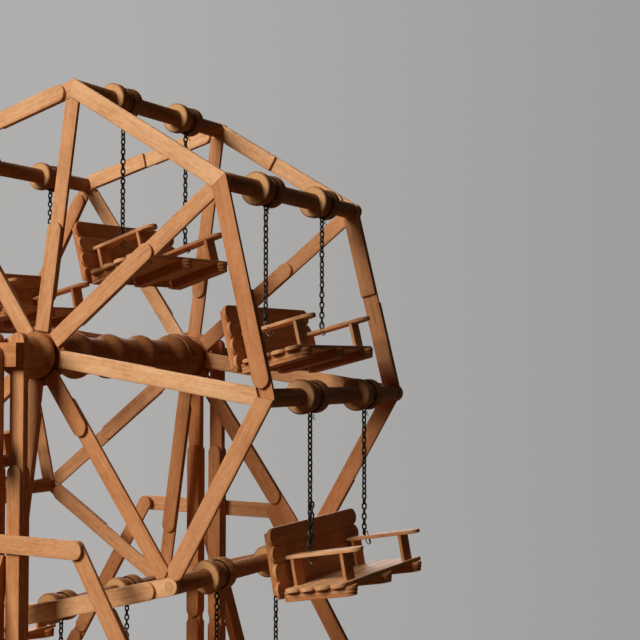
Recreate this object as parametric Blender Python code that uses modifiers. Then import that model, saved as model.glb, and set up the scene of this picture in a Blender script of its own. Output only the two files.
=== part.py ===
"""Kinetic ferris wheel sculpture of craft sticks, dowels, turned spools and fine chain.

The wheel turns about the Y axis between two braced towers. Eight slatted benches hang on chains
from the rim axles. The origin is on the baseboard's underside below the hub, +Z is up, and the
benches face +X. All lengths are in metres and all angles in degrees.
"""

import math

import bmesh
import bpy
import numpy as np
from mathutils import Matrix, Vector

# The stick stock that the whole sculpture is glued up from
STICK_LENGTH = 0.1143
STICK_WIDTH = 0.0098
STICK_THICKNESS = 0.0020
END_STEPS = 3
GLUE_SINK = 0.0001
PLY_STEP = 0.0004
TOUCH_GAP = 0.0003

# Wheel: one stick is one side of the octagon
SIDES = 8
FIRST_AXLE_ANGLE = 81.5
FRAME_INNER_HALF = 0.0695
BACKING_LENGTH = 0.0600
MITRE_GAP = 0.0002
WHEEL_RADIUS = STICK_LENGTH / (2 * math.sin(math.pi / SIDES))
STEP_ANGLE = 360 / SIDES
MITRE_ANGLE = math.pi / SIDES
HUB_STICK_START = 0.0136
SPOKE_DISC_RADIUS = 0.0170

# Each rim side's face stick: where it ends short of the next vertex, as a share of the side
NEAR_FACE_END_SHARES = (0.985, 0.93, 0.95, 0.84, 0.93, 0.94, 0.93, 0.95)
FAR_FACE_END_SHARES = (0.93, 0.94, 0.95, 0.93, 0.95, 0.94, 0.93, 0.94)
# Each spoke's hub stick: where its round end lies, as a share of the wheel's radius
NEAR_LAP_SHARES = (0.50, 0.50, 0.43, 0.62, 0.55, 0.50, 0.48, 0.52)
FAR_LAP_SHARES = (0.31, 0.55, 0.80, 0.77, 0.78, 0.60, 0.55, 0.50)

# Rim axles and the spools that are turned on them
DOWEL_RADIUS = 0.0048
TENON_RADIUS = 0.0032
CAP_LENGTH = 0.0020
SPOOL_SPACING = 0.0618
SPOOL_OFFSET = 0.0038
SPOOL_LENGTH = 0.0170
FLAT_DISC_RADIUS = 0.0102
DOMED_DISC_RADIUS = 0.0094
GROOVE_RADIUS = 0.0080
GROOVE_WIDTH = 0.0026
FLAT_DISC_SHARE = 0.38
DOME_SHARES = ((0.55, 1.0), (1.0, 0.84))
AXLE_SEGMENTS = 8

# Chains: a wire ring in the spool's groove and the links below it
NEXT_AXLE_CLEARANCE = 0.0373
CHAIN_DROP = STICK_LENGTH - NEXT_AXLE_CLEARANCE
LINK_PITCH = 0.00293
LINK_WIDTH = 0.0028
LINK_WIRE = 0.0008
RING_WIRE_RADIUS = 0.0006
RING_SEGMENTS = 8
RING_SIDES = 3

# Hanging benches, measured from the pivot at the chains' lower ends
SEAT_TILT = 11.5
SLAT_COUNT = 4
SLAT_WIDTH = 0.0092
SLAT_LENGTH = 0.0896
FLOOR_DROP = 0.0170
FLOOR_REAR = 0.0118
JOIST_PLIES = 2
JOIST_SPACING = 0.0324
JOIST_OVERHANG = 0.0016
BACK_FRONT = 0.0138
BACK_LOW = 0.0222
SUPPORT_SHORT = 0.0016
SUPPORT_SPACING = 0.0345
ARM_HEIGHT = 0.0140
ARM_FRONT = 0.0340
ARM_CENTRE = 0.0392
FRONT_POST = 0.0205
REAR_POST = 0.0100
BAIL_WIRE_RADIUS = 0.0005
BAIL_WIDTH = 0.0050

# Hub spindle: stacked spool shapes between the two frames
HUB_UNITS = 4
HUB_RING_RADIUS = 0.01485
HUB_BODY_RADIUS = 0.0113
HUB_END_LENGTH = 0.0200
HUB_END_SHARES = ((0.0, 0.0), (0.07, 1.0), (0.66, 1.0), (0.80, 0.3), (1.0, 0.3))
HUB_UNIT_SHARES = ((0.0, 0.0), (0.46, 0.0), (0.66, 0.45), (0.78, 1.0), (0.94, 1.0))
HUB_SEGMENTS = 14

# Main axle and its bearings
MAIN_AXLE_RADIUS = 0.0030
COLLAR_RADIUS = 0.0065
AXLE_OVERRUN = 0.0030
BEARING_THICKNESS = 0.0040
BEARING_HEIGHT = 0.0130

# Towers: paired laminated posts, a brace, splayed legs and a back strut
FAR_CLEARANCE = 0.0125
NEAR_CLEARANCE = 0.0200
POST_GAP = 0.0075
POST_ABOVE_AXLE = 0.0120
DOUBLER_DROP = 0.0585
WAIST_GAP = 0.0004
DOUBLERS_PER_POST = 2
BRACE_DROP = 0.1000
LEG_TOP_X = 0.0520
LEG_SPLAY = 32.0
LEG_DOUBLER_START = 0.0380
STRUT_TOP_DROP = 0.1080
STRUT_SPLAY = 23.5
STRUT_PLIES = 3

# Baseboard
BASE_THICKNESS = 0.0120
BASE_MARGIN = 0.0100
BASE_BEVEL = 0.0015

# Crank
CRANK_LENGTH = 0.0480
CRANK_PIN_RADIUS = 0.0020
KNOB_RADIUS = 0.0085
KNOB_WAIST_RADIUS = 0.0062
KNOB_LENGTH = 0.0190
KNOB_SEGMENTS = 12

# Cutters pass this much beyond what they cut
CUT_OVERRUN = 0.0010
# Faces this close to one plane, in degrees, are one face
FLAT_WITHIN = 0.1

STICK_HALF = STICK_WIDTH / 2
FRAME_THICKNESS = 2 * STICK_THICKNESS
FRAME_OUTER_HALF = FRAME_INNER_HALF + FRAME_THICKNESS
POST_DEPTH = 4 * STICK_THICKNESS
FAR_POST_Y = FRAME_OUTER_HALF + FAR_CLEARANCE + POST_DEPTH / 2
NEAR_POST_Y = FRAME_OUTER_HALF + NEAR_CLEARANCE + POST_DEPTH / 2
POST_X = (POST_GAP + STICK_WIDTH) / 2
AXLE_HEIGHT = BASE_THICKNESS + TOUCH_GAP + DOUBLER_DROP + DOUBLERS_PER_POST * (STICK_LENGTH + WAIST_GAP)
STRUT_THICKNESS = STRUT_PLIES * STICK_THICKNESS

X_AXIS = Vector((1, 0, 0))
Y_AXIS = Vector((0, 1, 0))
Z_AXIS = Vector((0, 0, 1))

WOOD = ("birch stick", (0.62, 0.36, 0.18), 0.62, 0.0)
DARK_WOOD = ("turned beech", (0.30, 0.16, 0.075), 0.55, 0.0)
BOARD = ("baseboard", (0.50, 0.30, 0.16), 0.60, 0.0)
STEEL = ("blackened steel", (0.035, 0.032, 0.030), 0.38, 1.0)


def clear_scene():
    """Removes whatever the file holds, and starts one collection of parts and one of cutters."""
    for old in list(bpy.data.objects):
        bpy.data.objects.remove(old, do_unlink=True)
    made = []
    for title in ("ferris_wheel", "cutters"):
        collection = bpy.data.collections.new(title)
        bpy.context.scene.collection.children.link(collection)
        made.append(collection)
    return made


PARTS, CUTTERS = clear_scene()


def finish_of(look):
    """The Principled material of one look, made the first time it is asked for."""
    title, colour, roughness, metallic = look
    material = bpy.data.materials.get(title)
    if material is None:
        material = bpy.data.materials.new(title)
        material.use_nodes = True
        shader = material.node_tree.nodes["Principled BSDF"]
        shader.inputs["Base Color"].default_value = (*colour, 1.0)
        shader.inputs["Roughness"].default_value = roughness
        shader.inputs["Metallic"].default_value = metallic
        material.diffuse_color = (*colour, 1.0)
    return material


def add_part(name, mesh, look, location=(0, 0, 0)):
    """A named sub-part at its place, with its look on a mesh that may be shared."""
    part = bpy.data.objects.new(name, mesh)
    if not mesh.materials:
        mesh.materials.append(finish_of(look))
    part.location = location
    PARTS.objects.link(part)
    return part


def turned_into_mesh(source, weld=True):
    """Swaps a helper object for its evaluated mesh, welded where loose and whole where flat."""
    CUTTERS.objects.link(source)
    bpy.context.view_layer.update()
    graph = bpy.context.evaluated_depsgraph_get()
    mesh = bpy.data.meshes.new_from_object(source.evaluated_get(graph), depsgraph=graph)
    mesh.transform(source.matrix_world)
    mesh.materials.clear()
    bpy.data.objects.remove(source, do_unlink=True)
    work = bmesh.new()
    work.from_mesh(mesh)
    if weld:
        bmesh.ops.remove_doubles(work, verts=work.verts, dist=GLUE_SINK / 20)
    flat = math.radians(FLAT_WITHIN)
    bmesh.ops.dissolve_limit(work, angle_limit=flat, verts=work.verts, edges=work.edges)
    work.to_mesh(mesh)
    work.free()
    return mesh


def plate_mesh(outline, thickness):
    """A flat outline of (across, up) points, thickened evenly about its plane."""
    curve = bpy.data.curves.new("outline", "CURVE")
    curve.dimensions = "2D"
    curve.fill_mode = "BOTH"
    curve.extrude = thickness / 2
    spline = curve.splines.new("POLY")
    spline.points.add(len(outline) - 1)
    for point, (across, up) in zip(spline.points, outline):
        point.co = (across, up, 0, 1)
    spline.use_cyclic_u = True
    return turned_into_mesh(bpy.data.objects.new("outline", curve))


def stand_up(mesh, origin, along, across):
    """Moves a flat mesh so that its X and Y run along and across, from the origin given."""
    along = Vector(along).normalized()
    across = Vector(across).normalized()
    turn = Matrix((along, across, along.cross(across))).transposed().to_4x4()
    mesh.transform(Matrix.Translation(origin) @ turn)
    return mesh


def end_points(length, half, kind):
    """One end of a stick, from its lower edge round to its upper edge.

    round is half a circle, square a plain cut, point two cuts that fit an inner rim corner,
    and mitre one cut along the line that halves the rim's corner.
    """
    if kind == "round":
        angles = [math.pi * (step / END_STEPS - 1 / 2) for step in range(END_STEPS + 1)]
        return [(length - half + half * math.cos(angle), half * math.sin(angle)) for angle in angles]
    slope = half * math.tan(MITRE_ANGLE)
    if kind == "point":
        return [(length - slope, -half), (length, 0), (length - slope, half)]
    if kind == "mitre":
        return [(length - slope, -half), (length + slope, half)]
    return [(length, -half), (length, half)]


def stick_outline(length, start, end, width=STICK_WIDTH):
    """A stick's outline from x = 0 to its length, with the kind of end given for each end."""
    half = width / 2
    near_end = [(-x, y) for x, y in reversed(end_points(0, half, start))]
    return end_points(length, half, end) + near_end


def stick_mesh(length, start="round", end="round", plies=1, width=STICK_WIDTH):
    """A flat stick that lies along X, centred on its thickness."""
    return plate_mesh(stick_outline(length, start, end, width), plies * STICK_THICKNESS)


def box_mesh(low, high):
    """A box between two corners."""
    work = bmesh.new()
    bmesh.ops.create_cube(work, size=1)
    size = Vector(high) - Vector(low)
    bmesh.ops.scale(work, vec=size, verts=work.verts)
    bmesh.ops.translate(work, vec=Vector(low) + size / 2, verts=work.verts)
    mesh = bpy.data.meshes.new("box")
    work.to_mesh(mesh)
    work.free()
    return mesh


def turned_mesh(profile, segments):
    """A profile of (place along Y, radius) pairs, turned about the Y axis.

    A profile that starts and ends on the axis is solid, and one that closes on itself is bored.
    """
    mesh = bpy.data.meshes.new("profile")
    points = [(radius, place, 0) for place, radius in profile]
    edges = [(index, index + 1) for index in range(len(points) - 1)]
    if profile[0][1] > 0:
        edges.append((len(points) - 1, 0))
    mesh.from_pydata(points, edges, [])
    source = bpy.data.objects.new("profile", mesh)
    screw = source.modifiers.new("turn", "SCREW")
    screw.axis = "Y"
    screw.angle = 2 * math.pi
    screw.steps = segments
    screw.render_steps = segments
    screw.use_merge_vertices = True
    screw.merge_threshold = GLUE_SINK / 20
    turned = turned_into_mesh(source)
    work = bmesh.new()
    work.from_mesh(turned)
    bmesh.ops.recalc_face_normals(work, faces=work.faces)
    work.to_mesh(turned)
    work.free()
    turned.shade_smooth()
    turned.set_sharp_from_angle(angle=math.radians(30))
    return turned


def cylinder_mesh(radius, low, high, centre, segments):
    """A cylinder along Y from low to high, about the (x, z) centre given."""
    mesh = turned_mesh([(high, 0), (high, radius), (low, radius), (low, 0)], segments)
    mesh.transform(Matrix.Translation((centre[0], 0, centre[1])))
    return mesh


def joined(meshes):
    """One solid of meshes that overlap, by exact Boolean unions."""
    body = bpy.data.objects.new("glued", meshes[0])
    others = [bpy.data.objects.new("glued piece", mesh) for mesh in meshes[1:]]
    for other in others:
        CUTTERS.objects.link(other)
        union = body.modifiers.new("glue", "BOOLEAN")
        union.operation = "UNION"
        union.solver = "EXACT"
        union.object = other
    mesh = turned_into_mesh(body, weld=False)
    for other in others:
        bpy.data.objects.remove(other, do_unlink=True)
    return mesh


def add_cutter(part, mesh):
    """Cuts a mesh out of a part with a live Boolean, whose cutter stays in its collection."""
    cutter = bpy.data.objects.new(f"{part.name}_cutter", mesh)
    cutter.hide_render = True
    cutter.display_type = "WIRE"
    cutter.parent = part
    CUTTERS.objects.link(cutter)
    bore = part.modifiers.new("bore", "BOOLEAN")
    bore.operation = "DIFFERENCE"
    bore.solver = "EXACT"
    bore.object = cutter


def tube_mesh(points, radius):
    """A wire of four sides through the points given, with capped ends."""
    curve = bpy.data.curves.new("wire", "CURVE")
    curve.dimensions = "3D"
    curve.bevel_depth = radius
    curve.bevel_resolution = 0
    curve.use_fill_caps = True
    spline = curve.splines.new("POLY")
    spline.points.add(len(points) - 1)
    for point, place in zip(spline.points, points):
        point.co = (*place, 1)
        point.tilt = math.pi / 4
    return turned_into_mesh(bpy.data.objects.new("wire", curve))


def on_circle(radius, degrees):
    """The (x, z) point at an angle from +X, in the wheel's plane."""
    return radius * math.cos(math.radians(degrees)), radius * math.sin(math.radians(degrees))


def axle_angle(index):
    """The angle of a rim axle, counted clockwise from the top one."""
    return FIRST_AXLE_ANGLE - STEP_ANGLE * index


def in_wheel_plane(mesh, start, toward, middle_y):
    """Stands a flat stick in the wheel's plane, along the line from start toward a point.

    Seen from -Y, the stick's own +Y edge lies on the left of its run.
    """
    run = (toward[0] - start[0], 0, toward[1] - start[1])
    across = (-run[2], 0, run[0])
    return stand_up(mesh, (start[0], middle_y, start[1]), run, across)


def ply_centres(front_y):
    """The middles of the face ply and of the backing ply behind it, sunk in the glue."""
    face = front_y + STICK_THICKNESS / 2
    return face, face + STICK_THICKNESS - GLUE_SINK


def rim_mesh(front_y, end_shares):
    """An octagon of lapped sticks: a face stick on each side, and a backing stick over each vertex."""
    face_y, backing_y = ply_centres(front_y)
    sticks = []
    for index, end_share in enumerate(end_shares):
        here = on_circle(WHEEL_RADIUS, axle_angle(index))
        after = on_circle(WHEEL_RADIUS, axle_angle(index + 1))
        face = stick_mesh(STICK_LENGTH * end_share - MITRE_GAP, "mitre", "round")
        face.transform(Matrix.Translation((MITRE_GAP, 0, 0)))
        sticks.append(in_wheel_plane(face, here, after, face_y))
        backing = stick_mesh(BACKING_LENGTH, "square", "round", width=STICK_WIDTH - PLY_STEP)
        backing.transform(Matrix.Translation((STICK_LENGTH + STICK_HALF - BACKING_LENGTH, 0, 0)))
        sticks.append(in_wheel_plane(backing, here, after, backing_y))
    return joined(sticks)


def spokes_mesh(front_y, lap_shares):
    """A star of spokes: hub sticks in the face ply, outer sticks and a centre disc behind them."""
    face_y, backing_y = ply_centres(front_y)
    tip = WHEEL_RADIUS - (STICK_HALF + TOUCH_GAP) / math.cos(MITRE_ANGLE)
    half_ply = STICK_THICKNESS / 2
    disc = cylinder_mesh(SPOKE_DISC_RADIUS, backing_y - half_ply, backing_y + half_ply, (0, 0), HUB_SEGMENTS)
    sticks = [disc]
    for index, lap_share in enumerate(lap_shares):
        vertex = on_circle(WHEEL_RADIUS, axle_angle(index))
        hub_stick = stick_mesh(WHEEL_RADIUS * lap_share - HUB_STICK_START, "square", "round")
        hub_stick.transform(Matrix.Translation((HUB_STICK_START, 0, 0)))
        sticks.append(in_wheel_plane(hub_stick, (0, 0), vertex, face_y))
        outer = stick_mesh(STICK_LENGTH, "round", "point", width=STICK_WIDTH - PLY_STEP)
        outer.transform(Matrix.Translation((tip - STICK_LENGTH, 0, 0)))
        sticks.append(in_wheel_plane(outer, (0, 0), vertex, backing_y))
    return joined(sticks)


def build_wheel_frames():
    """Both octagon frames with their spokes, and the sockets that the rim axles sit in."""
    centre = (0, 0, AXLE_HEIGHT)
    for side, front_y, ends, laps in (
        ("near", -FRAME_OUTER_HALF, NEAR_FACE_END_SHARES, NEAR_LAP_SHARES),
        ("far", FRAME_INNER_HALF, FAR_FACE_END_SHARES, FAR_LAP_SHARES),
    ):
        rim = add_part(f"{side}_rim", rim_mesh(front_y, ends), WOOD, centre)
        low = -FRAME_INNER_HALF - STICK_THICKNESS if side == "near" else front_y - CUT_OVERRUN
        high = -FRAME_INNER_HALF + CUT_OVERRUN if side == "near" else FRAME_OUTER_HALF + CUT_OVERRUN
        for index in range(SIDES):
            place = on_circle(WHEEL_RADIUS, axle_angle(index))
            add_cutter(rim, cylinder_mesh(TENON_RADIUS + TOUCH_GAP, low, high, place, AXLE_SEGMENTS))
        spokes = add_part(f"{side}_spokes", spokes_mesh(front_y, laps), WOOD, centre)
        low = front_y - CUT_OVERRUN
        high = front_y + FRAME_THICKNESS + CUT_OVERRUN
        bore_radius = MAIN_AXLE_RADIUS + TOUCH_GAP
        add_cutter(spokes, cylinder_mesh(bore_radius, low, high, (0, 0), HUB_SEGMENTS))


def spool_profile(centre):
    """A spool's profile along Y: a flat-faced disc, the chain's groove and a smaller domed disc."""
    start = centre - SPOOL_LENGTH / 2
    groove = start + SPOOL_LENGTH * FLAT_DISC_SHARE
    after = groove + GROOVE_WIDTH
    rest = start + SPOOL_LENGTH - after
    profile = [
        (start, DOWEL_RADIUS),
        (start, FLAT_DISC_RADIUS),
        (groove - GROOVE_WIDTH / 2, FLAT_DISC_RADIUS),
        (groove, GROOVE_RADIUS),
        (after, GROOVE_RADIUS),
        (after + GROOVE_WIDTH / 2, DOMED_DISC_RADIUS),
    ]
    for along_share, radius_share in DOME_SHARES:
        profile.append((after + rest * along_share, DOMED_DISC_RADIUS * radius_share))
    profile.append((start + SPOOL_LENGTH, DOWEL_RADIUS))
    return profile


def spool_centres():
    """The near and far spools' middles along Y."""
    return SPOOL_OFFSET - SPOOL_SPACING / 2, SPOOL_OFFSET + SPOOL_SPACING / 2


def groove_centre(spool_centre):
    """The middle of a spool's groove, where its chain hangs."""
    return spool_centre - SPOOL_LENGTH / 2 + SPOOL_LENGTH * FLAT_DISC_SHARE + GROOVE_WIDTH / 2


def rim_axle_mesh():
    """A dowel between the frames, with its tenons, its far cap and two spools."""
    shoulder = FRAME_INNER_HALF - TOUCH_GAP
    cap = FRAME_OUTER_HALF + TOUCH_GAP
    near_spool, far_spool = spool_centres()
    tenon_end = -FRAME_INNER_HALF - STICK_THICKNESS + TOUCH_GAP
    profile = [(tenon_end, 0), (tenon_end, TENON_RADIUS), (-shoulder, TENON_RADIUS), (-shoulder, DOWEL_RADIUS)]
    profile += spool_profile(near_spool) + spool_profile(far_spool)
    profile += [(shoulder, DOWEL_RADIUS), (shoulder, TENON_RADIUS), (cap, TENON_RADIUS), (cap, DOWEL_RADIUS)]
    profile += [(cap + CAP_LENGTH, DOWEL_RADIUS), (cap + CAP_LENGTH, 0)]
    return turned_mesh(profile, AXLE_SEGMENTS)


def hub_unit(start, length, shares=HUB_UNIT_SHARES):
    """One turned unit of the spindle: by default a straight body that flares to a round ring."""
    swell = HUB_RING_RADIUS - HUB_BODY_RADIUS
    return [(start + length * along, HUB_BODY_RADIUS + swell * out) for along, out in shares]


def build_hub():
    """The spindle of stacked spools between the frames, bored for the main axle."""
    half = FRAME_INNER_HALF - TOUCH_GAP
    unit_length = (2 * half - HUB_END_LENGTH) / HUB_UNITS
    profile = []
    for index in range(HUB_UNITS):
        profile += hub_unit(-half + index * unit_length, unit_length)
    profile += hub_unit(half - HUB_END_LENGTH, HUB_END_LENGTH, HUB_END_SHARES)
    bore_radius = MAIN_AXLE_RADIUS + TOUCH_GAP
    profile += [(half, bore_radius), (-half, bore_radius)]
    add_part("hub", turned_mesh(profile, HUB_SEGMENTS), DARK_WOOD, (0, 0, AXLE_HEIGHT))


def bearing_faces():
    """The outer faces of the near and far bearing plates, along Y."""
    reach = POST_DEPTH / 2 + BEARING_THICKNESS - GLUE_SINK
    return NEAR_POST_Y + reach, FAR_POST_Y + reach


def build_main_axle():
    """The axle with its far cap, a far collar and the spool that spaces the near tower."""
    near_bearing, far_bearing = bearing_faces()
    near_end = -near_bearing - TOUCH_GAP - FRAME_THICKNESS - AXLE_OVERRUN
    near_inner = -NEAR_POST_Y + POST_DEPTH / 2 + TOUCH_GAP
    far_inner = FAR_POST_Y - POST_DEPTH / 2 - TOUCH_GAP
    near_face = -FRAME_INNER_HALF - STICK_THICKNESS - TOUCH_GAP
    far_face = FRAME_OUTER_HALF + TOUCH_GAP
    profile = [(near_end, 0), (near_end, MAIN_AXLE_RADIUS), (near_inner, MAIN_AXLE_RADIUS)]
    profile += hub_unit(near_inner, near_face - STICK_THICKNESS - near_inner)
    profile += [(near_face - STICK_THICKNESS, COLLAR_RADIUS), (near_face, COLLAR_RADIUS)]
    profile += [(near_face, MAIN_AXLE_RADIUS), (far_face, MAIN_AXLE_RADIUS)]
    profile += [(far_face, COLLAR_RADIUS), (far_inner, COLLAR_RADIUS), (far_inner, MAIN_AXLE_RADIUS)]
    cap = far_bearing + TOUCH_GAP
    profile += [(cap, MAIN_AXLE_RADIUS), (cap, COLLAR_RADIUS)]
    profile += [(cap + AXLE_OVERRUN, COLLAR_RADIUS), (cap + AXLE_OVERRUN, 0)]
    add_part("main_axle", turned_mesh(profile, HUB_SEGMENTS), DARK_WOOD, (0, 0, AXLE_HEIGHT))


def chain_mesh(drop):
    """A hanging chain below its axle: a wire ring, and links that lie across and along in turn.

    Each link is one triangle of the loft, broad one way and thin the other, turned a quarter
    from the link above it.
    """
    ring_radius = (GROOVE_RADIUS + GLUE_SINK) / math.cos(math.pi / RING_SEGMENTS) + RING_WIRE_RADIUS
    top = -ring_radius
    bottom = -drop + BAIL_WIRE_RADIUS + TOUCH_GAP
    count = round((top - bottom) / LINK_PITCH)
    heights = np.linspace(top - LINK_PITCH / 2, bottom + LINK_PITCH / 2, count)
    broad = LINK_WIDTH / 2
    thin = LINK_WIRE / 2
    even = np.array([(-broad, -thin), (broad, -thin), (0, thin)])
    odd = np.array([(-thin, -broad), (thin, 0), (-thin, broad)])
    points = [(0, 0, top)]
    for index, height in enumerate(heights):
        points += [(x, y, height) for x, y in (odd if index % 2 else even)]
    points.append((0, 0, bottom))
    faces = [(0, 1, 2), (0, 2, 3), (0, 3, 1)]
    for index in range(count - 1):
        first = 1 + 3 * index
        for corner in range(3):
            here, after = first + corner, first + (corner + 1) % 3
            faces += [(here, here + 3, after), (after, here + 3, after + 3)]
    last = 1 + 3 * (count - 1)
    end = len(points) - 1
    faces += [(last, end, last + 1), (last + 1, end, last + 2), (last + 2, end, last)]
    links = bpy.data.meshes.new("links")
    links.from_pydata(points, [], faces)
    work = bmesh.new()
    work.from_mesh(links)
    bmesh.ops.recalc_face_normals(work, faces=work.faces)
    work.to_mesh(links)
    work.free()
    ring_profile = []
    for step in range(RING_SIDES):
        angle = 2 * math.pi * (step + 1 / 2) / RING_SIDES
        across = RING_WIRE_RADIUS * math.cos(angle)
        ring_profile.append((across, ring_radius + RING_WIRE_RADIUS * math.sin(angle)))
    return joined([turned_mesh(ring_profile, RING_SEGMENTS), links])


def build_hangers():
    """The eight rim axles with their spools, and the pair of chains that hangs from each."""
    axle = rim_axle_mesh()
    chain = chain_mesh(CHAIN_DROP)
    for index in range(SIDES):
        x, z = on_circle(WHEEL_RADIUS, axle_angle(index))
        add_part(f"rim_axle_{index + 1}", axle, DARK_WOOD, (x, 0, AXLE_HEIGHT + z))
        for side, spool_centre in zip(("near", "far"), spool_centres()):
            place = (x, groove_centre(spool_centre), AXLE_HEIGHT + z)
            add_part(f"chain_{index + 1}_{side}", chain, STEEL, place)


def slatted_mesh():
    """Slats glued edge to edge: a plate whose ends are scalloped by each slat's round end.

    The slats lie along X, and stand one above another along Y from y = 0.
    """
    half_run = SLAT_LENGTH / 2
    right = []
    for index in range(SLAT_COUNT):
        middle = (index + 1 / 2) * SLAT_WIDTH
        round_end = end_points(half_run, SLAT_WIDTH / 2, "round")
        right += [(x, middle + y) for x, y in round_end[:-1]]
    right.append((half_run - SLAT_WIDTH / 2, SLAT_COUNT * SLAT_WIDTH))
    left = [(-x, y) for x, y in reversed(right)]
    return plate_mesh(right + left, STICK_THICKNESS)


def seat_floor():
    """The floor's slats and the joists under them, which start at the backrest's foot."""
    middle = -FLOOR_DROP - STICK_THICKNESS / 2
    front = -FLOOR_REAR + SLAT_COUNT * SLAT_WIDTH
    pieces = [stand_up(slatted_mesh(), (front, 0, middle), Y_AXIS, -X_AXIS)]
    joist_start = -BACK_FRONT + TOUCH_GAP
    joist_middle = middle - (1 + JOIST_PLIES) * STICK_THICKNESS / 2 + GLUE_SINK
    joist_width = STICK_WIDTH - PLY_STEP
    for side in (-1, 0, 1):
        length = front + JOIST_OVERHANG - joist_start
        joist = stick_mesh(length, "square", "round", width=joist_width, plies=JOIST_PLIES)
        start = (joist_start, side * JOIST_SPACING, joist_middle)
        pieces.append(stand_up(joist, start, X_AXIS, Y_AXIS))
    return pieces


def seat_arms():
    """The two armrests, each on a front and a rear post."""
    pieces = []
    arm_start = -BACK_FRONT + TOUCH_GAP
    arm_z = -FLOOR_DROP + ARM_HEIGHT
    post_half = STICK_HALF - PLY_STEP
    for side in (-1, 1):
        y = side * ARM_CENTRE
        arm = stick_mesh(ARM_FRONT - arm_start, "square", "round")
        pieces.append(stand_up(arm, (arm_start, y, arm_z + STICK_THICKNESS / 2), X_AXIS, Y_AXIS))
        for x in (FRONT_POST, -REAR_POST):
            low = (x - STICK_THICKNESS / 2, y - post_half, -FLOOR_DROP - GLUE_SINK)
            high = (x + STICK_THICKNESS / 2, y + post_half, arm_z + GLUE_SINK)
            pieces.append(box_mesh(low, high))
    return pieces


def seat_bails():
    """The wire loops that the chains' last links hold, standing in the floor."""
    foot = -FLOOR_DROP - STICK_THICKNESS / 2
    shoulder = BAIL_WIDTH / 2
    bails = []
    for y in seat_bail_places():
        points = [(-shoulder, y, foot), (-shoulder, y, -shoulder), (0, y, 0)]
        points += [(shoulder, y, -shoulder), (shoulder, y, foot)]
        bails.append(tube_mesh(points, BAIL_WIRE_RADIUS))
    return bails


def seat_bail_places():
    """The chains' places along Y, from the seat's middle."""
    return [groove_centre(centre) - seat_middle_y() for centre in spool_centres()]


def seat_middle_y():
    """The seats' middle along Y: halfway between the two chains."""
    near, far = spool_centres()
    return (groove_centre(near) + groove_centre(far)) / 2


def seat_back():
    """The backrest: slats one above another, glued on upright supports behind them."""
    slat_x = -BACK_FRONT - STICK_THICKNESS / 2
    pieces = [stand_up(slatted_mesh(), (slat_x, 0, -BACK_LOW), Y_AXIS, Z_AXIS)]
    behind = -BACK_FRONT - STICK_THICKNESS + GLUE_SINK
    top = -BACK_LOW + SLAT_COUNT * SLAT_WIDTH - SUPPORT_SHORT
    for side in (-1, 1):
        y = side * SUPPORT_SPACING
        low = (behind - STICK_THICKNESS, y - STICK_HALF, -BACK_LOW + GLUE_SINK)
        pieces.append(box_mesh(low, (behind, y + STICK_HALF, top)))
    return pieces


def build_seats():
    """Eight benches and backs, tipped back to the angle at which their weight balances."""
    bench = joined(seat_floor() + seat_arms() + seat_bails())
    back = joined(seat_back())
    for mesh in (bench, back):
        mesh.transform(Matrix.Rotation(-math.radians(SEAT_TILT), 4, "Y"))
    for index in range(SIDES):
        x, z = on_circle(WHEEL_RADIUS, axle_angle(index))
        pivot = (x, seat_middle_y(), AXLE_HEIGHT + z - CHAIN_DROP)
        add_part(f"seat_{index + 1}_bench", bench, WOOD, pivot)
        add_part(f"seat_{index + 1}_back", back, WOOD, pivot)


def post_pieces(x, top, floor):
    """One laminated post: a core of two plies, with doublers lapped end to end on both faces."""
    core = stick_mesh(top - floor, "square", "round", plies=2)
    pieces = [stand_up(core, (x, 0, floor), Z_AXIS, X_AXIS)]
    offset = 3 * STICK_THICKNESS / 2 - GLUE_SINK
    for index in range(DOUBLERS_PER_POST):
        start = -DOUBLER_DROP - (index + 1) * (STICK_LENGTH + WAIST_GAP) + WAIST_GAP
        start_kind = "square" if index == DOUBLERS_PER_POST - 1 else "round"
        for side in (-1, 1):
            doubler = stick_mesh(STICK_LENGTH, start_kind, "round", width=STICK_WIDTH - PLY_STEP)
            pieces.append(stand_up(doubler, (x, side * offset, start), Z_AXIS, X_AXIS))
    return pieces


def leg_outline(length, slope, start_kind, width=STICK_WIDTH):
    """A leg ply from its top at x = 0, cut level with the baseboard at its foot."""
    half = width / 2
    top = [(-x, y) for x, y in reversed(end_points(0, half, start_kind))]
    shift = half * math.tan(slope)
    return [(length - shift, -half), (length + shift, half)] + top


def leg_mesh(side):
    """A splayed leg of two plies whose laps are staggered, in the plane X and Z."""
    slope = math.radians(LEG_SPLAY)
    foot_z = BASE_THICKNESS + TOUCH_GAP - AXLE_HEIGHT
    top_z = -BRACE_DROP
    length = (top_z - foot_z) / math.cos(slope) + STICK_HALF
    run = Vector((side * math.sin(slope), 0, -math.cos(slope)))
    across = Vector((-side * math.cos(slope), 0, -math.sin(slope)))
    start = Vector((side * LEG_TOP_X, 0, top_z)) - run * STICK_HALF
    face_y = -STICK_THICKNESS / 2
    behind_y = face_y + STICK_THICKNESS - GLUE_SINK
    upper = stick_mesh(STICK_LENGTH)
    lower_start = STICK_LENGTH + WAIST_GAP
    lower = plate_mesh(leg_outline(length - lower_start, -slope, "round"), STICK_THICKNESS)
    narrower = STICK_WIDTH - PLY_STEP
    doubler = plate_mesh(leg_outline(length - LEG_DOUBLER_START, -slope, "round", narrower), STICK_THICKNESS)
    placed = []
    for mesh, begin, y in ((upper, 0, face_y), (lower, lower_start, face_y), (doubler, LEG_DOUBLER_START, behind_y)):
        placed.append(stand_up(mesh, start + run * begin + Y_AXIS * y, run, across))
    return joined(placed)


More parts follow.
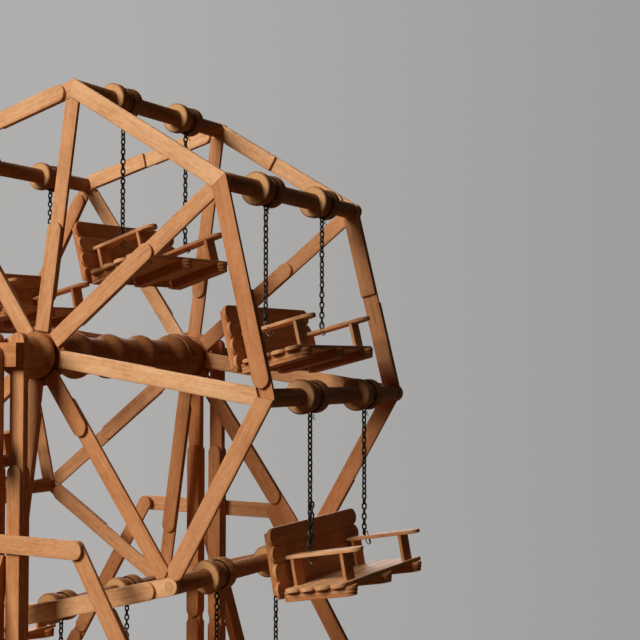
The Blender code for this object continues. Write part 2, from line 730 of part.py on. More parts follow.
def strut_mesh(outward):
    """A strut of three plies that runs from the posts' gap out and down to the baseboard."""
    slope = math.radians(STRUT_SPLAY)
    foot_z = BASE_THICKNESS + TOUCH_GAP - AXLE_HEIGHT
    length = (-STRUT_TOP_DROP - foot_z) / math.cos(slope)
    run = Vector((0, outward * math.sin(slope), -math.cos(slope)))
    across = Vector((0, -outward * math.cos(slope), -math.sin(slope)))
    start = (0, 0, -STRUT_TOP_DROP)
    return stand_up(plate_mesh(leg_outline(length, -slope, "square"), STRUT_THICKNESS), start, run, across)


def build_tower(side, outward, post_y):
    """One tower: its paired posts with the bearing plate, brace, legs and back strut."""
    floor = BASE_THICKNESS + TOUCH_GAP - AXLE_HEIGHT
    centre = (0, outward * post_y, AXLE_HEIGHT)
    pieces = []
    for x in (-POST_X, POST_X):
        pieces += post_pieces(x, POST_ABOVE_AXLE, floor)
    plate_start = outward * (POST_DEPTH / 2 - GLUE_SINK - STICK_THICKNESS)
    plate_end = plate_start + outward * (BEARING_THICKNESS + STICK_THICKNESS)
    half_width = POST_X + STICK_HALF
    low = (-half_width, min(plate_start, plate_end), -BEARING_HEIGHT / 2)
    high = (half_width, max(plate_start, plate_end), BEARING_HEIGHT / 2)
    pieces.append(box_mesh(low, high))
    posts = add_part(f"{side}_posts", joined(pieces), WOOD, centre)
    bore = cylinder_mesh(MAIN_AXLE_RADIUS + TOUCH_GAP, -POST_DEPTH, POST_DEPTH, (0, 0), HUB_SEGMENTS)
    add_cutter(posts, bore)

    brace = stick_mesh(STICK_LENGTH)
    middle_y = outward * (POST_DEPTH / 2 + TOUCH_GAP + STICK_THICKNESS / 2)
    stand_up(brace, (-STICK_LENGTH / 2, middle_y, -BRACE_DROP), X_AXIS, Z_AXIS)
    add_part(f"{side}_brace", brace, WOOD, centre)

    leg_y = outward * (POST_DEPTH / 2 - STICK_THICKNESS)
    for label, direction in (("left", -1), ("right", 1)):
        leg_place = (0, outward * post_y + leg_y, AXLE_HEIGHT)
        add_part(f"{side}_leg_{label}", leg_mesh(direction), WOOD, leg_place)
    add_part(f"{side}_strut", strut_mesh(outward), WOOD, centre)


def build_base():
    """The baseboard, large enough for the legs' and the struts' feet."""
    drop = AXLE_HEIGHT - BASE_THICKNESS
    foot_x = LEG_TOP_X + (drop - BRACE_DROP) * math.tan(math.radians(LEG_SPLAY))
    strut_run = (drop - STRUT_TOP_DROP) * math.tan(math.radians(STRUT_SPLAY))
    half_x = foot_x + STICK_WIDTH + BASE_MARGIN
    near_y = -NEAR_POST_Y - strut_run - STICK_WIDTH - BASE_MARGIN
    far_y = FAR_POST_Y + strut_run + STICK_WIDTH + BASE_MARGIN
    board = add_part("base_board", box_mesh((-half_x, near_y, 0), (half_x, far_y, BASE_THICKNESS)), BOARD)
    edge = board.modifiers.new("eased edge", "BEVEL")
    edge.width = BASE_BEVEL
    edge.segments = 1
    edge.limit_method = "ANGLE"


def build_crank():
    """The crank arm on the axle's near end, its pin, and the knob that spins on the pin."""
    near_bearing, _ = bearing_faces()
    arm_back = -near_bearing - TOUCH_GAP
    arm_y = arm_back - FRAME_THICKNESS / 2
    arm = stick_mesh(CRANK_LENGTH + STICK_WIDTH, plies=2)
    stand_up(arm, (0, arm_y, -CRANK_LENGTH - STICK_HALF), Z_AXIS, X_AXIS)
    knob_back = arm_back - FRAME_THICKNESS - TOUCH_GAP
    knob_front = knob_back - KNOB_LENGTH
    head = knob_front - TOUCH_GAP
    pin_profile = [
        (arm_y, 0),
        (arm_y, CRANK_PIN_RADIUS),
        (head, CRANK_PIN_RADIUS),
        (head, KNOB_WAIST_RADIUS),
        (head - STICK_THICKNESS, KNOB_WAIST_RADIUS),
        (head - STICK_THICKNESS, 0),
    ]
    pin = turned_mesh(pin_profile, KNOB_SEGMENTS)
    pin.transform(Matrix.Translation((0, 0, -CRANK_LENGTH)))
    crank = add_part("crank_arm", joined([arm, pin]), WOOD, (0, 0, AXLE_HEIGHT))
    low = arm_y - FRAME_THICKNESS
    high = arm_y + FRAME_THICKNESS
    add_cutter(crank, cylinder_mesh(MAIN_AXLE_RADIUS + TOUCH_GAP, low, high, (0, 0), HUB_SEGMENTS))
    knob_profile = [
        (knob_back, CRANK_PIN_RADIUS + TOUCH_GAP),
        (knob_back, KNOB_RADIUS),
        (knob_back - KNOB_LENGTH / 4, KNOB_RADIUS),
        (knob_back - KNOB_LENGTH / 2, KNOB_WAIST_RADIUS),
        (knob_back - 3 * KNOB_LENGTH / 4, KNOB_RADIUS),
        (knob_front, KNOB_RADIUS),
        (knob_front, CRANK_PIN_RADIUS + TOUCH_GAP),
    ]
    knob = turned_mesh(knob_profile, KNOB_SEGMENTS)
    add_part("crank_knob", knob, DARK_WOOD, (0, 0, AXLE_HEIGHT - CRANK_LENGTH))


def build():
    """Builds every sub-part of the sculpture."""
    build_base()
    build_tower("near", -1, NEAR_POST_Y)
    build_tower("far", 1, FAR_POST_Y)
    build_wheel_frames()
    build_hub()
    build_main_axle()
    build_hangers()
    build_seats()
    build_crank()
    print("parts:", len(PARTS.objects))


build()
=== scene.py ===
# Tabletop ferris wheel of glued craft sticks, turned spools and fine chain.
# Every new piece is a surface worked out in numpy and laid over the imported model.
import math

import bmesh
import bpy
import numpy as np
from mathutils import Matrix, Vector


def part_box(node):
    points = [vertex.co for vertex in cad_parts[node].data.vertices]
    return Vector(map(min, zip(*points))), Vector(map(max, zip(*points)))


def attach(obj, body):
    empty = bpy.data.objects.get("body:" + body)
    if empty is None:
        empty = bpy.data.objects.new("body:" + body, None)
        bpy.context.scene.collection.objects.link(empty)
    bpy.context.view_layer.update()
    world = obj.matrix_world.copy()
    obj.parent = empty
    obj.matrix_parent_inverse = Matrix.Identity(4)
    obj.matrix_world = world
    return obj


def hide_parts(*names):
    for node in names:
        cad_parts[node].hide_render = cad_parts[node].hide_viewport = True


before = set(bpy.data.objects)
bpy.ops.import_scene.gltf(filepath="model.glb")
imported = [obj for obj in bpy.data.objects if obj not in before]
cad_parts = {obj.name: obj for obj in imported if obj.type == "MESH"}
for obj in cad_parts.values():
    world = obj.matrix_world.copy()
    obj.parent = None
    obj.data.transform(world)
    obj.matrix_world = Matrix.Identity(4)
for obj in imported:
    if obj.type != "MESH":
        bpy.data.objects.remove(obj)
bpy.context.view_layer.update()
chance = np.random.default_rng(31)      # one seeded source for every small irregularity
print("frame loaded:", len(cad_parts), "nodes")

axisX, axisY, axisZ = np.eye(3)
stickLength = 0.1143
octagonCut = math.tan(math.pi / 8)      # the slant of a mitre of the octagon
clearance = 0.0003                      # between parts that turn on each other or are glued on
wheel = {
    "radius": stickLength / (2 * math.sin(math.pi / 8)),    # one stick is one side of the octagon
    "hubHeight": 0.3002,
    "firstAngle": 81.5,
    "sides": 8,
    "innerHalf": 0.0695,                # half the clear width between the two frames
}
hubCentre = np.array([0.0, 0.0, wheel["hubHeight"]])


def rimVertex(index):                   # where axle number index stands, from the hub's middle
    angle = math.radians(wheel["firstAngle"] - 360.0 / wheel["sides"] * index)
    return wheel["radius"] * np.array([math.cos(angle), 0.0, math.sin(angle)])


def placed(name, data):                 # a new object with this data, in the scene
    thing = bpy.data.objects.new(name, data)
    bpy.context.scene.collection.objects.link(thing)
    return thing


# Shader maths

class Wire:                             # a socket that can be reckoned with
    def __init__(self, graph, socket):
        self.graph, self.socket = graph, socket

    def reckon(self, operation, a, b=0.0):
        return self.graph.node("ShaderNodeMath", {"operation": operation}, {0: a, 1: b})

    def __add__(self, other):
        return self.reckon("ADD", self, other)

    def __radd__(self, other):
        return self.reckon("ADD", other, self)

    def __sub__(self, other):
        return self.reckon("SUBTRACT", self, other)

    def __mul__(self, other):
        return self.reckon("MULTIPLY", self, other)

    def above(self, other):
        return self.reckon("MAXIMUM", self, other)

    def below(self, other):
        return self.reckon("MINIMUM", self, other)

    def sine(self):
        return self.reckon("SINE", self)

    def step(self, low, high):          # 0 below low, 1 above high, smooth between
        return self.graph.node("ShaderNodeMapRange", {"interpolation_type": "SMOOTHSTEP"},
                               {0: self, 1: low, 2: high})


class Graph:                            # the node tree of a new material or world
    def __init__(self, owner):
        self.owner = owner
        owner.use_nodes = True
        self.tree = owner.node_tree
        self.shader = self.tree.nodes.get("Principled BSDF")

    def node(self, kind, settings=None, sockets=None, out=0):
        made = self.tree.nodes.new(kind)
        for key, value in (settings or {}).items():
            if key == "stops":
                elements = made.color_ramp.elements
                elements[0].position, elements[1].position = value[0][0], value[-1][0]
                for place, _ in value[1:-1]:
                    elements.new(place)
                for element, (_, colour) in zip(elements, value):
                    element.color = (*colour, 1.0)
            else:
                setattr(made, key, value)
        for key, value in (sockets or {}).items():
            self.join(value, made.inputs[key])
        return Wire(self, made.outputs[out])

    def join(self, value, socket):
        if isinstance(value, Wire):
            self.tree.links.new(value.socket, socket)
        elif isinstance(value, tuple) and len(value) == 3 and socket.type == "RGBA":
            socket.default_value = (*value, 1.0)
        else:
            socket.default_value = value

    def set(self, **sockets):           # the shader's own sockets, spaces written as underscores
        for name, value in sockets.items():
            self.join(value, self.shader.inputs[name.replace("_", " ")])

    def attribute(self, name, out="Fac"):
        return self.node("ShaderNodeAttribute", {"attribute_name": name}, {}, out)

    def place(self, kind):              # "Object" or "Generated"
        return self.node("ShaderNodeTexCoord", out=kind)

    def ray(self, kind):                # 1 for rays of this kind, else 0
        return self.node("ShaderNodeLightPath", out=f"Is {kind} Ray")

    def scaled(self, vector, factors):
        return self.node("ShaderNodeVectorMath", {"operation": "MULTIPLY"}, {0: vector, 1: factors})

    def length(self, vector):
        return self.node("ShaderNodeVectorMath", {"operation": "LENGTH"}, {0: vector}, "Value")

    def noise(self, vector, scale=1.0, detail=2.0, roughness=0.5):
        sockets = {"Vector": vector, "Scale": scale, "Detail": detail, "Roughness": roughness}
        return self.node("ShaderNodeTexNoise", {}, sockets, "Fac")

    def blend(self, factor, a, b, kind="MIX"):      # between two colours
        settings = {"data_type": "RGBA", "blend_type": kind}
        return self.node("ShaderNodeMix", settings, {0: factor, 6: a, 7: b}, 2)

    def tinted(self, factor, a, b):     # a multiplied by b, as far as factor says
        return self.blend(factor, a, b, "MULTIPLY")

    def ramp(self, value, stops):
        return self.node("ShaderNodeValToRGB", {"stops": stops}, {0: value}, "Color")

    def bump(self, height, distance, strength):
        sockets = {"Height": height, "Distance": distance, "Strength": strength}
        return self.node("ShaderNodeBump", {}, sockets, "Normal")


# Finishes

# each noise of the wood: cycles to the metre along and across the fibres, detail, roughness
woodNoise = {
    "wander": (14.0, 60.0, 1.0, 0.5),
    "field": (5.0, 95.0, 1.5, 0.4),
    "fibre": (34.0, 1700.0, 3.0, 0.62),
    "streak": (10.0, 420.0, 2.0, 0.5),
    "pore": (150.0, 3300.0, 1.0, 0.5),
    "blotch": (26.0, 60.0, 2.0, 0.5),
    "mottle": (240.0, 520.0, 3.0, 0.6),
    "grimeAndShade": (90.0, 260.0, 3.0, 0.5),
}
woodLook = {                            # what holds for every wood whose own look doesn't say
    "goldTint": (1.05, 1.03, 0.97),
    "redTint": (0.90, 0.84, 0.78),
    # tint of the worn border and the sides: grime, and painted shade on the sides
    "wornAndShaded": (0.50, 0.40, 0.33),
    "shade": (0.60, 0.48, 0.40),        # in the pores and on sawn ends
    "figureScale": 1.0,
    "figureLines": 120.0,
    "rings": 5200.0,                    # radians to the metre
    "stops": (0.36, 0.50, 0.66),        # of the mixed noises, for deep, middle and pale
    "specular": 0.18,
    "relief": 0.00006,
    "reliefStrength": 0.55,
}
birchLook = {
    "pale": (0.680, 0.360, 0.158),
    "middle": (0.585, 0.280, 0.108),
    "deep": (0.450, 0.188, 0.062),
    "goldTint": (1.13, 1.20, 1.36),
    "redTint": (0.78, 0.57, 0.43),
    # birch's tint of the worn border and the sides: grime, and painted shade on the sides
    "wornAndShaded": (0.66, 0.52, 0.42),
    "roughness": 0.62,
}
turnedLook = {
    "pale": (0.480, 0.214, 0.078),
    "middle": (0.372, 0.150, 0.049),
    "deep": (0.250, 0.092, 0.027),
    "endGrain": (0.600, 0.310, 0.122),
    "roughness": 0.64,
}
boardLook = {
    "pale": (0.560, 0.335, 0.180),
    "middle": (0.460, 0.255, 0.125),
    "deep": (0.290, 0.135, 0.055),
    "roughness": 0.50,
    "figureScale": 0.35,
}
metalNoise = {"patch": 420.0, "fine": 2600.0}       # cycles to the metre
chainLook = {"steel": (0.034, 0.026, 0.020), "bright": (0.19, 0.155, 0.115), "roughness": 0.46}
wireLook = {"steel": (0.11, 0.085, 0.065), "bright": (0.48, 0.34, 0.22), "roughness": 0.36}


def woodFinish(name, ownLook):
    # the grain attribute is the stick's own space in metres: X runs along the fibres.
    # Figure is the contour lines of a slow noise, fibres are a noise drawn out along X,
    # and pores are where a finer one peaks.
    look = {**woodLook, **ownLook}
    graph = Graph(bpy.data.materials.new(name))
    grain = graph.attribute("grain", "Vector")
    tone, edge, ends = (graph.attribute(title) for title in ("tone", "edge", "endGrain"))

    def noise(title, factor=1.0):
        along, across, detail, roughness = woodNoise[title]
        scales = tuple(factor * cycles for cycles in (along, across, across))
        return graph.noise(graph.scaled(grain, scales), detail=detail, roughness=roughness)

    wander, fibre, streak = noise("wander"), noise("fibre"), noise("streak")
    pore = noise("pore").step(0.64, 0.74)
    figure = ((noise("field", look["figureScale"]) + wander * 0.05) * look["figureLines"]).sine() * 0.5 + 0.5
    value = (fibre * 0.40 + streak * 0.18 + figure * 0.05 + noise("blotch") * 0.37
             + (noise("mottle") - 0.5) * 0.36)
    body = graph.ramp(value, list(zip(look["stops"], (look["deep"], look["middle"], look["pale"]))))
    body = graph.tinted(1.0, body, graph.blend(tone, look["redTint"], look["goldTint"]))
    body = graph.tinted(pore * 0.35, body, look["shade"])
    # grime patches darken the worn border; the same tint over the whole side faces is painted shade
    grimeAndShade = noise("grimeAndShade").step(0.35, 0.75)
    body = graph.tinted(edge * (0.04 + grimeAndShade * 0.24), body, look["wornAndShaded"])
    if "endGrain" in look:              # pale faces across the fibres, with their growth rings
        radius = graph.length(graph.scaled(graph.attribute("turn", "Vector"), (0.0, 1.0, 1.0)))
        rings = ((radius * look["rings"] + wander * 9.0).sine() * 0.5 + 0.5) * 0.22 + streak * 0.5
        dark = tuple(0.80 * part for part in look["endGrain"])
        body = graph.blend(ends, body, graph.ramp(rings, [(0.15, dark), (0.55, look["endGrain"])]))
    else:
        body = graph.tinted(ends * 0.8, body, look["shade"])
    rough = look["roughness"] + (fibre - 0.5) * 0.30 + pore * 0.12 + ends * 0.10
    height = fibre * 0.6 + streak * 0.6 - pore * 0.8
    graph.set(Base_Color=body, Roughness=rough, Specular_IOR_Level=look["specular"],
              Normal=graph.bump(height, look["relief"], look["reliefStrength"]))
    return graph.owner


def metalFinish(name, look):
    # dark steel whose proud places are rubbed bright
    graph = Graph(bpy.data.materials.new(name))
    spot = graph.attribute("grain", "Vector")
    patch = graph.noise(spot, scale=metalNoise["patch"], detail=3.0)
    fine = graph.noise(spot, scale=metalNoise["fine"], detail=2.0)
    rubbed = (patch * 0.6 + fine * 0.4).step(0.52, 0.68)
    graph.set(Base_Color=graph.blend(rubbed * 0.7, look["steel"], look["bright"]),
              Roughness=look["roughness"] + fine * 0.22 - rubbed * 0.10,
              Metallic=0.92, Normal=graph.bump(fine, 0.00002, 0.5))
    return graph.owner


finishes = {
    "birch": woodFinish("birch craft stick", birchLook),
    "turned": woodFinish("turned beech", turnedLook),
    "board": woodFinish("sanded baseboard", boardLook),
    "chain": metalFinish("blackened chain", chainLook),
    "wire": metalFinish("drawn wire", wireLook),
}
print("finishes made:", ", ".join(finishes))


# Surfaces

def gridFaces(n, m, loopU=False, loopV=False):
    # the quads of an n by m grid of points, closed in u or v where asked
    i = np.arange(n if loopU else n - 1)[:, None]
    j = np.arange(m if loopV else m - 1)[None, :]
    iNext, jNext = (i + 1) % n, (j + 1) % m
    return np.stack([i * m + j, iNext * m + j, iNext * m + jNext, i * m + jNext], -1).reshape(-1, 4)


def around(count):                      # equal steps of a full turn
    return np.linspace(0.0, 2 * math.pi, count, endpoint=False)


def welded(mesh):                       # joins the points that fall together, as in a closed tip
    work = bmesh.new()
    work.from_mesh(mesh)
    bmesh.ops.remove_doubles(work, verts=work.verts, dist=1e-7)
    bmesh.ops.dissolve_degenerate(work, edges=work.edges, dist=1e-8)
    bmesh.ops.recalc_face_normals(work, faces=work.faces)
    work.to_mesh(mesh)
    work.free()


class Shape:                            # one piece as it is put together, grid by grid
    def __init__(self, name, body, finish, slot, replaces=()):
        self.name, self.body, self.finish = name, body, finish
        self.slot, self.replaces = slot, replaces
        self.points, self.quads, self.data = [], [], []
        self.count = 0

    def grid(self, points, grain, turn=None, tone=0.5, edge=0.0, ends=0.0, loopU=False, loopV=False):
        # a surface P(u, v), with what the finish reads at each point
        n, m = points.shape[:2]
        self.quads.append(gridFaces(n, m, loopU, loopV) + self.count)
        self.points.append(points.reshape(-1, 3))
        flat = np.zeros((n, m, 9))
        flat[..., 0:3] = grain
        flat[..., 3:6] = grain if turn is None else turn
        flat[..., 6], flat[..., 7], flat[..., 8] = tone, edge, ends
        self.data.append(flat.reshape(-1, 9))
        self.count += n * m

    def made(self, rotation=None, place=(0.0, 0.0, 0.0)):
        points = np.concatenate(self.points)
        if rotation is not None:
            points = points @ np.asarray(rotation).T
        points = points + np.asarray(place)
        data = np.concatenate(self.data).astype(np.float32)
        mesh = bpy.data.meshes.new(self.name)
        mesh.from_pydata(points.tolist(), [], np.concatenate(self.quads).tolist())
        for title, column in (("grain", 0), ("turn", 3)):
            layer = mesh.attributes.new(title, "FLOAT_VECTOR", "POINT")
            layer.data.foreach_set("vector", data[:, column:column + 3].ravel())
        for title, column in (("tone", 6), ("edge", 7), ("endGrain", 8)):
            layer = mesh.attributes.new(title, "FLOAT", "POINT")
            layer.data.foreach_set("value", data[:, column].copy())
        welded(mesh)
        mesh.shade_smooth()
        mesh.set_sharp_from_angle(angle=math.radians(38))
        mesh.materials.append(finishes[self.finish])
        piece = placed(self.name, mesh)
        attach(piece, self.body)
        if self.replaces:
            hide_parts(*self.replaces)


def stickShape(name, body, node):
    return Shape(name, body, "birch", "birch_stick", [node])


def turnedShape(name, body, node):
    return Shape(name, body, "turned", "turned_wood", [node])


stickLook = {
    "length": stickLength,
    "width": 0.0098,
    "thickness": 0.0020,
    "ease": 0.00038,                    # how far the tumbled edges are rounded
    "rim": 0.0017,                      # how far in from the edge the handling marks reach
    "bow": 0.00012,
    "glueSink": 0.0001,
    "plyStep": 0.0004,
}


def stickEnd(kind, half, thick, ease, slant):
    # rows from the tip inwards: distance in, half width, half thickness, slant of the cut
    if kind == "round":                 # half width = radius * sin t, distance in = radius * (1 - cos t)
        t = np.linspace(0.0, math.pi / 2, 9)
        return np.column_stack([half * (1 - np.cos(t)), half * np.sin(t), np.full(9, thick), np.zeros(9)])
    if kind == "point":
        return np.array([[0, 0, thick, 0], [half * octagonCut, half, thick, 0]])
    nip = 0.3 * ease                    # a sawn end is only lightly broken
    square = nip + 2.2 * half * abs(slant) + 1e-5       # past the cut the rows stand square again
    return np.array([[0, 0, 0, slant], [0, half - nip, thick - nip, slant],
                     [nip, half, thick, slant], [square, half, thick, 0]])


def addStick(shape, start, along, across, length, startKind="round", endKind="round",
             width=stickLook["width"], thickness=stickLook["thickness"], startSlant=0.0, endSlant=0.0,
             ease=stickLook["ease"], tone=None, bow=None):
    # A bar carried along its centre line: P(u, v) = start + u * along + a(u, v) * across
    # + b(u, v) * up, where (a, b) runs round a rectangle with eased corners that is as
    # wide as the outline is at u.
    bow = stickLook["bow"] * chance.uniform(-1, 1) if bow is None else bow
    half, thick = width / 2, thickness / 2
    ease = min(ease, 0.9 * thick)
    first = stickEnd(startKind, half, thick, ease, startSlant)
    last = stickEnd(endKind, half, thick, ease, endSlant)[::-1]
    last[:, 0] = length - last[:, 0]
    middle = np.column_stack([np.linspace(first[-1, 0], last[0, 0], 5)[1:-1], np.full(3, half),
                              np.full(3, thick), np.zeros(3)])
    rows = np.concatenate([first, middle, last])
    u, halfs, thicks, slants = rows.T[:, :, None]
    corner = math.sqrt(0.5)
    quarter = [(1, 1, 1, 0), (1, corner, 1, corner), (1, 0, 1, 1)]
    loop = quarter + [(2, 0, 1, 1), (-2, 0, 1, 1)]      # 2 marks the inner edge of the worn border
    loop += [(-a, -b, c, d) for a, b, c, d in quarter[::-1]]
    loop = np.array(loop + [(a, b, -c, -d) for a, b, c, d in loop[::-1]], float)
    easeA, easeB = np.minimum(ease, halfs), np.minimum(ease, thicks)
    inner = np.maximum(halfs - stickLook["rim"], 0.35 * halfs)
    isInner = np.abs(loop[:, 0]) == 2
    outer = loop[:, 0] * (halfs - easeA) + loop[:, 1] * easeA
    a = np.where(isInner, np.sign(loop[:, 0]) * inner, outer)
    b = loop[:, 2] * (thicks - easeB) + loop[:, 3] * easeB
    up = np.cross(along, across)
    alongU = u + slants * a
    lift = b + bow * np.sin(math.pi * np.clip(alongU / length, 0, 1))
    points = (np.asarray(start, float) + alongU[..., None] * np.asarray(along)
              + a[..., None] * np.asarray(across) + lift[..., None] * up)
    offset = chance.uniform(-3.0, 3.0, 3)
    grain = np.stack([alongU + offset[0] + 0 * a, a + offset[1], b + offset[2]], -1)
    # 1 on the worn border and over the whole side faces, where the tint is painted shade
    edge = np.where(isInner & (halfs > stickLook["rim"]), 0.0, 1.0) * np.ones_like(a)
    ends = ((thicks < thick) & (halfs < half)) * np.ones_like(a)
    tone = chance.uniform(0.0, 1.0) if tone is None else tone
    shape.grid(points, grain, tone=tone, edge=edge, ends=ends, loopV=True)


def eased(profile, ease, steps=3):
    # cuts every inner corner of a turned profile with a short curve: a quadratic arc from
    # a little before the corner to a little after it
    points = [np.asarray(p, float) for p in profile]
    made = [points[0]]
    t = np.linspace(0.0, 1.0, steps + 1)[:, None]
    for before, here, after in zip(points, points[1:], points[2:]):
        back, ahead = before - here, after - here
        reach = min(ease, 0.45 * np.linalg.norm(back), 0.45 * np.linalg.norm(ahead))
        p = here + back / np.linalg.norm(back) * reach
        q = here + ahead / np.linalg.norm(ahead) * reach
        made.extend((1 - t) ** 2 * p + 2 * t * (1 - t) * here + t ** 2 * q)
    made.append(points[-1])
    return np.array(made)


def addTurned(shape, profile, centre, segments=40, ease=0.0004, tone=None, wobble=0.00004):
    # A turned solid about an axle along Y: P(u, v) = (r(u) cos v, y(u), r(u) sin v), with a
    # slight wobble of the radius as hand turning leaves
    rows = eased(profile, ease)
    v = around(segments)[None, :]
    y, r = rows[:, 0:1], rows[:, 1:2]
    r = r + np.where(r > 0, wobble, 0) * np.sin(2 * v + y * 900.0)
    x, z = r * np.cos(v), r * np.sin(v)
    y = y + 0 * v
    points = np.stack([centre[0] + x, y, centre[2] + z], -1)
    steps = np.abs(np.diff(rows, axis=0))
    lengths = np.linalg.norm(steps, axis=1)
    radial = steps[:, 1] > 2.0 * steps[:, 0]    # end grain shows where the longer step beside is radial
    isBefore = np.r_[0.0, lengths] > np.r_[lengths, 0.0]
    longer = np.where(isBefore, np.r_[False, radial], np.r_[radial, False])
    offset = chance.uniform(-3.0, 3.0, 3)
    grain = np.stack([y, x, z], -1)
    tone = chance.uniform(0.0, 1.0) if tone is None else tone
    shape.grid(points, grain + offset, turn=grain, tone=tone, ends=longer[:, None] * np.ones_like(x),
               edge=0.25, loopV=True)


def addTube(shape, path, radius, sides=6, closed=False, flat=(0.31, 0.83, 0.46)):
    # Wire along a path: P(u, v) = path(u) + radius * (cos v * side(u) + sin v * up(u)), where
    # side and up are square to the path's direction, and side is square to flat too
    path = np.asarray(path, float)
    if closed:
        ahead = np.roll(path, -1, 0) - np.roll(path, 1, 0)
    else:
        ahead = np.gradient(path, axis=0)
    ahead /= np.linalg.norm(ahead, axis=1)[:, None]
    side = np.cross(ahead, flat)
    side /= np.linalg.norm(side, axis=1)[:, None]
    up = np.cross(side, ahead)
    v = around(sides)[None, :, None]
    radii = np.full((len(path), 1, 1), radius)
    if not closed:
        path = np.concatenate([path[:1], path, path[-1:]])
        side, up = (np.concatenate([w[:1], w, w[-1:]]) for w in (side, up))
        radii = np.concatenate([[[[0.0]]], radii, [[[0.0]]]])
    points = path[:, None] + radii * (np.cos(v) * side[:, None] + np.sin(v) * up[:, None])
    shape.grid(points, points + chance.uniform(-1, 1, 3), loopU=closed, loopV=True)


# The two octagon frames

frames = {
    "backingLength": 0.0600,            # the stick that laps each corner from behind
    "hubStart": 0.0136,
    "discRadius": 0.0170,
    "bore": 0.0033,
    "mitreGap": 0.00004,
    "shortestLap": 0.55,                # of a hub stick that lies behind
    "onwardTone": 0.95,
    "tuck": 0.00015,                    # a spoke's stick that lies in front is set back by this
    "overlap": 0.0014,                  # and runs in under the rim's stick by this
    # sides: the shares of a side between which its face stick lies, mitred at 0 and at 1.
    # laps: the shares of the radius at which each spoke's hub stick ends.
    # splices: a side, and the shares of it between which a short piece is glued on.
    "near": {
        "front": -0.0735,
        "sides": ((0, 1), (0, 0.955), (0, 0.955), (0.078, 1), (0, 0.93), (0, 0.94), (0, 0.93), (0, 0.95)),
        "lapsOnward": (2,),
        "splices": (),
        "tones": (0.90, 0.15, 0.37, 0.92, 0.5, 0.7, 0.4, 0.8),
        "laps": (0.50, 0.64, 0.437, 0.36, 0.55, 0.50, 0.48, 0.52),
        "outerInFront": (2,),
        "spokeTones": (0.5, 0.55, 1.0, 0.18, 0.5, 0.3, 0.8, 0.6),
    },
    "far": {
        "front": 0.0695,
        "sides": ((0, 0.93), (0, 0.97), (0, 0.95), (0, 0.93), (0, 0.95), (0, 0.94), (0, 0.93), (0, 0.94)),
        "lapsOnward": (),
        "splices": ((0, 0.10, 0.435), (1, 0.03, 0.47), (7, 0.05, 0.47)),
        # the far rim's tones, the first side's most, are raised to make up for the shade cast on it: its own
        # tone with painted light added
        "tones": (1.25, 0.42, 0.15, 0.3, 0.6, 0.5, 0.3, 1.0),
        "laps": (0.265, 0.64, 0.79, 0.76, 0.78, 0.60, 0.55, 0.50),
        "outerInFront": (0,),
        # the far spokes' tones are raised the same way: painted light on top of their own tone
        "spokeTones": (0.35, 0.42, 0.66, 0.15, 0.2, 0.6, 0.3, 1.0),
    },
}


def inPlane(start, end, y):             # a stick's start, direction and width direction in a frame
    along = (end - start) / np.linalg.norm(end - start)
    return hubCentre + start + axisY * y, along, np.cross(along, axisY)


def makeFrame(side):
    look = frames[side]
    length, width, thick = (stickLook[key] for key in ("length", "width", "thickness"))
    faceY = look["front"] + thick / 2
    backY = faceY + thick - stickLook["glueSink"]
    narrow = width - stickLook["plyStep"]
    gap = frames["mitreGap"]
    rim = stickShape(side + "RimSticks", "wheel", side + "_rim")
    for index, (low, high) in enumerate(look["sides"]):
        start, along, across = inPlane(rimVertex(index), rimVertex(index + 1), faceY)
        outward = 1.0 if np.dot(across, rimVertex(index + 0.5)) > 0 else -1.0
        begin = length * low + gap
        addStick(rim, start + along * begin, along, across * outward, length * high - gap - begin,
                 "round" if low else "cut", "round" if high < 1 else "cut",
                 startSlant=-octagonCut, endSlant=octagonCut, tone=look["tones"][index])
        onward = index in look["lapsOnward"]
        first = index + 2 if onward else index
        start, along, across = inPlane(rimVertex(first), rimVertex(index + 1), backY)
        begin = length + width / 2 - frames["backingLength"]
        addStick(rim, start + along * begin, along, across, frames["backingLength"], "cut", "round", narrow,
                 tone=frames["onwardTone"] if onward else look["tones"][index])
    for index, low, high in look["splices"]:
        spliceY = faceY - thick + stickLook["glueSink"]
        start, along, across = inPlane(rimVertex(index), rimVertex(index + 1), spliceY)
        addStick(rim, start + along * low * length, along, across, (high - low) * length, "cut", "cut",
                 tone=look["tones"][index] - 0.1)
    rim.made()

    spokes = stickShape(side + "SpokeSticks", "wheel", side + "_spokes")
    tip = wheel["radius"] - (width / 2 + gap) / math.cos(math.pi / 8)
    hubStart = frames["hubStart"]
    for index, lap in enumerate(look["laps"]):
        if index in look["outerInFront"]:
            hubY, outerY = backY, faceY + frames["tuck"]
            hubEnd = wheel["radius"] * max(lap, frames["shortestLap"])
            inner, outer = wheel["radius"] * lap, tip + frames["overlap"]
        else:
            hubY, outerY = faceY, backY
            hubEnd = wheel["radius"] * lap
            inner, outer = tip - length, tip
        tone = look["spokeTones"][index]
        start, along, across = inPlane(np.zeros(3), rimVertex(index), hubY)
        addStick(spokes, start + along * hubStart, along, across, hubEnd - hubStart, "cut", "round",
                 tone=tone)
        start, along, across = inPlane(np.zeros(3), rimVertex(index), outerY)
        addStick(spokes, start + along * inner, along, across, outer - inner, "round", "point", narrow,
                 tone=tone + chance.uniform(-0.1, 0.1))
    low, high = backY - thick / 2, backY + thick / 2
    bore, disc = frames["bore"], frames["discRadius"]
    profile = [(low, bore), (low, disc), (high, disc), (high, bore), (low, bore)]
    addTurned(spokes, profile, hubCentre, 48, ease=0.0002)
    spokes.made()


for side in ("near", "far"):
    makeFrame(side)
print("octagon frames made")


# Rim axles with their turned spools

